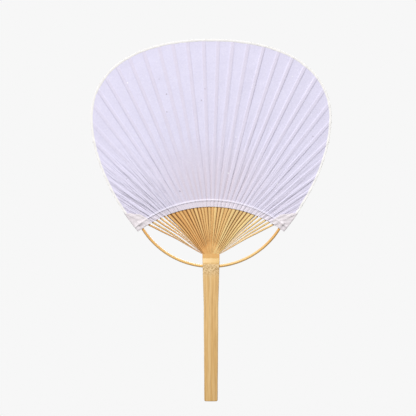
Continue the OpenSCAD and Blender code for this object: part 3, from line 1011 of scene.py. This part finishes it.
def make_paper(name, side, material):
    """One paper as a thin closed shell. Its outer face stands a paper's thickness off the ribs and follows
    their relief; side is -1 for the front and 1 for the back. It carries how much of a rib shows, with the
    painted shade between the ribs near the thread, how strongly it is drawn into wrinkles, where its hem
    lies, and where the painted highlight along the thread's crest goes."""
    x, z = paper_grid()
    sink, cover = paper_relief(x, z)
    outer = RIB_Y + side * (RIB_T / 2.0 + PAPER_T) - side * sink
    inner = outer - side * PAPER_T * 0.6
    points = np.vstack([point_list(x, outer, z), point_list(x, inner, z)])
    angle = np.arctan2(x, z - SPREAD_Z)
    reach = np.hypot(x, z - SPREAD_Z)
    at_side = smooth(0.35, 0.8, np.abs(angle)) * (1.0 - smooth(75.0, 170.0, reach))
    across_thread = past_thread(x, z)
    values = {
        # cover: how much of a rib shows, with painted shade over the gaps near the thread
        "cover": cover,
        "drawn": 0.3 * (1.0 - smooth(120.0, 190.0, reach)) + np.where(angle < 0.0, 1.25, 0.25) * at_side,
        "hem": smooth(0.0, -1.5, across_thread),
        # The crest mark places a painted highlight along the thread's ridge
        "crest": bell(across_thread, 0.4, 0.7),
    }
    marks = {label: np.tile(value.ravel(), 2) for label, value in values.items()}
    faces = shell_faces(*x.shape)
    if side > 0:
        faces = faces[:, ::-1]
    uv = point_list(reach, angle * 110.0 + 40.0 * side)
    return new_piece(name, points, faces, material, np.vstack([uv, uv]), marks, smooth_angle=60.0)


# Steps of a fold round the rim, from -1 on the front to 1 on the back
FOLD = np.linspace(-1.0, 1.0, 9)[1:-1]

# Thickness of the rim strip over its middle and at its inner edge, and how deep its fold is
STRIP_T = 0.16
STRIP_EDGE_T = 0.03
FOLD_DEPTH = 0.28


def folded(x, side, half, z):
    """Points of paper folded round the rim: from half in front of the ribs' middle, where side is -1,
    along a half ellipse to half behind it, where side is 1."""
    return point_list(x, RIB_Y + np.sin(side * math.pi / 2.0) * half, z)


def folded_piece(name, outer, inner, shape, material):
    """A closed shell of folded paper, through which no rib shows."""
    points = np.vstack([outer, inner])
    marks = {"cover": np.zeros(len(points))}
    faces = shell_faces(*shape)
    return outward(new_piece(name, points, faces, material, marks=marks, smooth_angle=60.0))


def make_binding(material):
    """The rim binding: a folded strip of paper carried along the head's outline. Its section goes in
    from the rim over each face, round the rim in a half ellipse, and follows the papers' relief."""
    length = np.linspace(0.6, OUTLINE_LENGTH[-1] - 0.6, 900)
    width = BINDING_W * (1.0 + 0.09 * sway(41, 9, 6.0, 40.0)(length))
    face = np.array([1.0, 0.75, 0.5, 0.3, 0.16])
    fold = FOLD_DEPTH * (1.0 - np.cos(FOLD * math.pi / 2.0))
    inset = np.concatenate([face[:, None] * width, np.repeat(fold[:, None], length.size, 1),
                            face[::-1, None] * width])
    side = np.concatenate([-np.ones(face.size), FOLD, np.ones(face.size)])[:, None]

    def skin(out):
        """The strip's surface, out millimetres outside the papers and the rim."""
        x, z = outline_at(length + 0.0 * inset, np.maximum(inset - out, BINDING_T - out))
        sink, _ = paper_relief(x, z)
        free = smooth(0.4, 1.0, inset / width)
        half = RIB_T / 2.0 + PAPER_T + 0.03 * (1.0 - free) - (0.75 + 0.25 * free) * np.clip(sink, -1.0, 1.0)
        return folded(x, side, half + out, z)

    thickness = STRIP_T - (STRIP_T - STRIP_EDGE_T) * smooth(0.3, 1.0, inset / width)
    return folded_piece("rim_strip", skin(thickness), skin(0.0), inset.shape, material)


def crumple(seed, folds, shortest, longest):
    """A crumpled height over the head's plane: a mean of straight folds, each a triangle wave along its
    own direction, so that creases stay sharp."""
    draw = np.random.default_rng(seed)
    turn = draw.uniform(0.0, math.pi, folds)
    rate = 1.0 / draw.uniform(shortest, longest, folds)
    phase = draw.uniform(0.0, 1.0, folds)

    def height(x, z):
        """The folds' mean height at a point, from -1 to 1."""
        along = np.asarray(x)[..., None] * np.cos(turn) + np.asarray(z)[..., None] * np.sin(turn)
        return (np.abs((along * rate + phase) % 1.0 - 0.5) * 4.0 - 1.0).mean(-1)

    return height


# The free edge of a corner patch, as x and z of its corners: from the papers' lower edge to the rim
PATCH_EDGE = np.array([[62.9, 183.7], [64.6, 190.4], [73.2, 195.8], [85.6, 197.0]])

# How thick a patch is, how far it stands off the papers, how unevenly it is torn, and the height and
# width of the knot under it
PATCH_T = 0.12
PATCH_LIFT = 0.26
TORN = 0.35
KNOT_RISE = 0.95
KNOT_W = 2.4


def make_patch(name, side, material):
    """A corner patch: thin paper folded over the rim. Each row runs from the patch's free edge on the
    front, round the rim, to its free edge on the back: b is 1 at a free edge and 0 at the rim, and t
    goes from the lower row up. The free edge goes through PATCH_EDGE with a torn unevenness, and the
    whole is crumpled and rises over the knot and the bow's tail."""
    seed = 60 if side < 0 else 70
    t = np.linspace(0.0, 1.0, 70)
    leg = np.concatenate([[0.0], np.cumsum(np.linalg.norm(np.diff(PATCH_EDGE, axis=0), axis=1))])
    free_x, free_z = (np.interp(t * leg[-1], leg, PATCH_EDGE[:, k]) for k in (0, 1))
    torn = sway(seed, 6, 2.0, 9.0)
    free_x = free_x + TORN * torn(t * leg[-1]) * (1.0 - t)
    free_z = free_z + TORN * torn(t * leg[-1] + 50.0)
    free_z = np.maximum(free_z, EDGE_CENTRE + np.sqrt(EDGE_R**2 - free_x**2) - 0.1)
    total = OUTLINE_LENGTH[-1]
    last = total - np.interp(PATCH_EDGE[-1, 1], OUTLINE[-60:, 1][::-1], OUTLINE_LENGTH[-60:][::-1])
    edge_x, edge_z = outline_at(total - last * t, 0.0)
    inward = np.linspace(1.0, 0.0, 26)
    b = np.concatenate([inward, np.zeros(FOLD.size), inward[::-1]])[:, None]
    face = np.concatenate([-np.ones(inward.size), FOLD, np.ones(inward.size)])[:, None]
    out = 0.3 * np.cos(face * math.pi / 2.0) * (np.abs(face) < 1.0)
    x = edge_x * (1.0 - b) + free_x * b - OUTLINE_IN[-1, 0] * out
    z = edge_z * (1.0 - b) + free_z * b - OUTLINE_IN[-1, 1] * out
    creases = crumple(seed + 1, 4, 3.4, 7.5)
    sink, _ = paper_relief(x, z)
    knot = KNOT_RISE * bell(np.hypot(x - LASH_X, z - LASH_Z), 0.0, KNOT_W, 3)
    loose = (smooth(0.0, 0.12, 1.0 - b) * smooth(0.0, 0.1, b)
             * smooth(0.0, 0.08, t) * smooth(0.0, 0.08, 1.0 - t))
    half = RIB_T / 2.0 + PAPER_T + PATCH_LIFT - 0.7 * np.clip(sink, -0.9, 0.9) + knot
    half = half + loose * np.maximum(0.24 + 0.32 * creases(x + 40.0 * face, z), 0.0)
    outer, inner = (folded(side * x, face, half + thickness, z) for thickness in (PATCH_T, 0.0))
    return folded_piece(name, outer, inner, x.shape, material)


# The floor, in metres
FLOOR_DROP = 0.25
FLOOR_RADIUS = 1.8
FLOOR_FADES = (0.3, 1.6)

# The tone of the floor and the surround as the camera sees them, how much of it the floor shows, and
# how strongly the surround lights the fan
PALE = srgb(247, 247, 247)
FLOOR_GLOW = 0.9
SURROUND_LIGHT = 0.22


def mix_shaders(tree, amount, a, b):
    """The result of mixing two shaders."""
    node = add(tree, "ShaderNodeMixShader")
    for value, socket in zip((amount, a, b), node.inputs):
        tree.links.new(value, socket)
    return node.outputs[0]


def make_stage():
    """A pale round floor well under the fan and a surround of the same tone. The floor fades out
    towards its edge. The camera sees it mostly at a tone of its own, with the shadow."""
    turn = np.linspace(0.0, 2.0 * math.pi, 96, endpoint=False)
    corners = point_list(FLOOR_RADIUS * np.cos(turn), FLOOR_RADIUS * np.sin(turn), -FLOOR_DROP)
    mesh = bpy.data.meshes.new("floor")
    mesh.from_pydata(corners.tolist(), [], [list(range(turn.size))])
    floor = bpy.data.objects.new("floor", mesh)
    bpy.context.scene.collection.objects.link(floor)
    material, tree, shader = new_material("pale floor", 0.9, 0.0)
    shader.inputs["Base Color"].default_value = srgb(150, 150, 150)
    glow = times(tree, add(tree, "ShaderNodeLightPath").outputs["Is Camera Ray"], FLOOR_GLOW)
    tone = add(tree, "ShaderNodeEmission", Color=PALE)
    away = add(tree, "ShaderNodeVectorMath")
    away.operation = "LENGTH"
    feed(tree, add(tree, "ShaderNodeTexCoord").outputs["Object"], away.inputs[0])
    fade = add(tree, "ShaderNodeMapRange", Value=away.outputs["Value"], From_Min=FLOOR_FADES[0],
               From_Max=FLOOR_FADES[1])
    fade.interpolation_type = "SMOOTHSTEP"
    lit = mix_shaders(tree, glow, shader.outputs[0], tone.outputs[0])
    clear = add(tree, "ShaderNodeBsdfTransparent")
    tree.links.new(mix_shaders(tree, fade.outputs["Result"], lit, clear.outputs[0]),
                   tree.nodes["Material Output"].inputs["Surface"])
    mesh.materials.append(material)

    world = bpy.data.worlds.new("surround")
    bpy.context.scene.world = world
    world.use_nodes = True
    tree = world.node_tree
    ray = add(tree, "ShaderNodeLightPath").outputs
    seen = math_node(tree, "MAXIMUM", ray["Is Camera Ray"], ray["Is Glossy Ray"])
    seen = math_node(tree, "MAXIMUM", seen, ray["Is Transmission Ray"])
    strength = math_node(tree, "MULTIPLY_ADD", seen, 1.0 - SURROUND_LIGHT, SURROUND_LIGHT)
    back = tree.nodes["Background"]
    feed(tree, PALE, back.inputs["Color"])
    feed(tree, strength, back.inputs["Strength"])


LAMP_TARGET = (0.0, 0.0, 0.25)


def add_lamp(name, place, size, power):
    """A square soft lamp that faces the fan."""
    light = bpy.data.lights.new(name, "AREA")
    light.size = size
    light.energy = power
    lamp = bpy.data.objects.new(name, light)
    lamp.location = place
    lamp.rotation_mode = "QUATERNION"
    lamp.rotation_quaternion = (Vector(LAMP_TARGET) - Vector(place)).to_track_quat("-Z", "Y")
    bpy.context.scene.collection.objects.link(lamp)


# The photograph's scale and size, and where the handle's middle line and its end are in it
PHOTO_MM_PER_PX = 1.05
PHOTO_SIZE = 416
PHOTO_AXIS_PX = 211.0
PHOTO_END_PX = 401.0


def make_camera(lens):
    """A camera square to the fan's front, so that the frame covers what the photograph's does."""
    width = PHOTO_SIZE * PHOTO_MM_PER_PX * MM
    data = bpy.data.cameras.new("camera")
    data.lens = lens
    distance = width * lens / data.sensor_width
    camera = bpy.data.objects.new("camera", data)
    x = (PHOTO_SIZE / 2.0 - PHOTO_AXIS_PX) * PHOTO_MM_PER_PX * MM
    z = (PHOTO_END_PX - PHOTO_SIZE / 2.0) * PHOTO_MM_PER_PX * MM
    camera.location = (x, -distance, z)
    camera.rotation_euler = (math.pi / 2.0, 0.0, 0.0)
    bpy.context.scene.collection.objects.link(camera)
    bpy.context.scene.camera = camera


make_camera(100.0)
make_stage()
add_lamp("key lamp", (-0.55, -1.55, 1.85), 0.45, 56.0)
add_lamp("fill lamp", (1.4, -1.2, 0.4), 0.9, 2.5)
add_lamp("back lamp", (0.5, 1.6, 1.2), 0.9, 36.0)
bpy.context.scene.view_settings.view_transform = "Standard"

strip_bamboo = handle_bamboo()
face_paper = sheet_paper("face paper", srgb(226, 222, 243), srgb(218, 214, 235), srgb(216, 203, 213),
                         fibre_gain=0.22, crinkle=0.06, wrinkle=4.5)
rim_paper = sheet_paper("rim paper", srgb(249, 247, 244), srgb(242, 239, 236), srgb(240, 236, 232))
patch_paper = sheet_paper("patch paper", srgb(235, 229, 233), srgb(226, 216, 220), srgb(224, 212, 222))

pieces = [
    (make_handle(strip_bamboo), "split_bamboo", ["handle_and_ribs"]),
    (make_ribs(rib_bamboo()), "split_bamboo", ["handle_and_ribs"]),
    (make_bow(bow_bamboo()), "bow_bamboo", ["bow"]),
    (make_thread(thread_cotton()), "thread", ["binding_thread"]),
    (make_paper("front_sheet", -1.0, face_paper), "face_paper", ["front_paper"]),
    (make_paper("back_sheet", 1.0, face_paper), "face_paper", ["back_paper"]),
    (make_binding(rim_paper), "rim_paper", ["rim_binding"]),
    (make_patch("left_ear", -1.0, patch_paper), "patch_paper", ["left_corner_patch"]),
    (make_patch("right_ear", 1.0, patch_paper), "patch_paper", ["right_corner_patch"]),
]
for piece, slot, nodes in pieces:
    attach(piece, "root")
    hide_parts(*nodes)
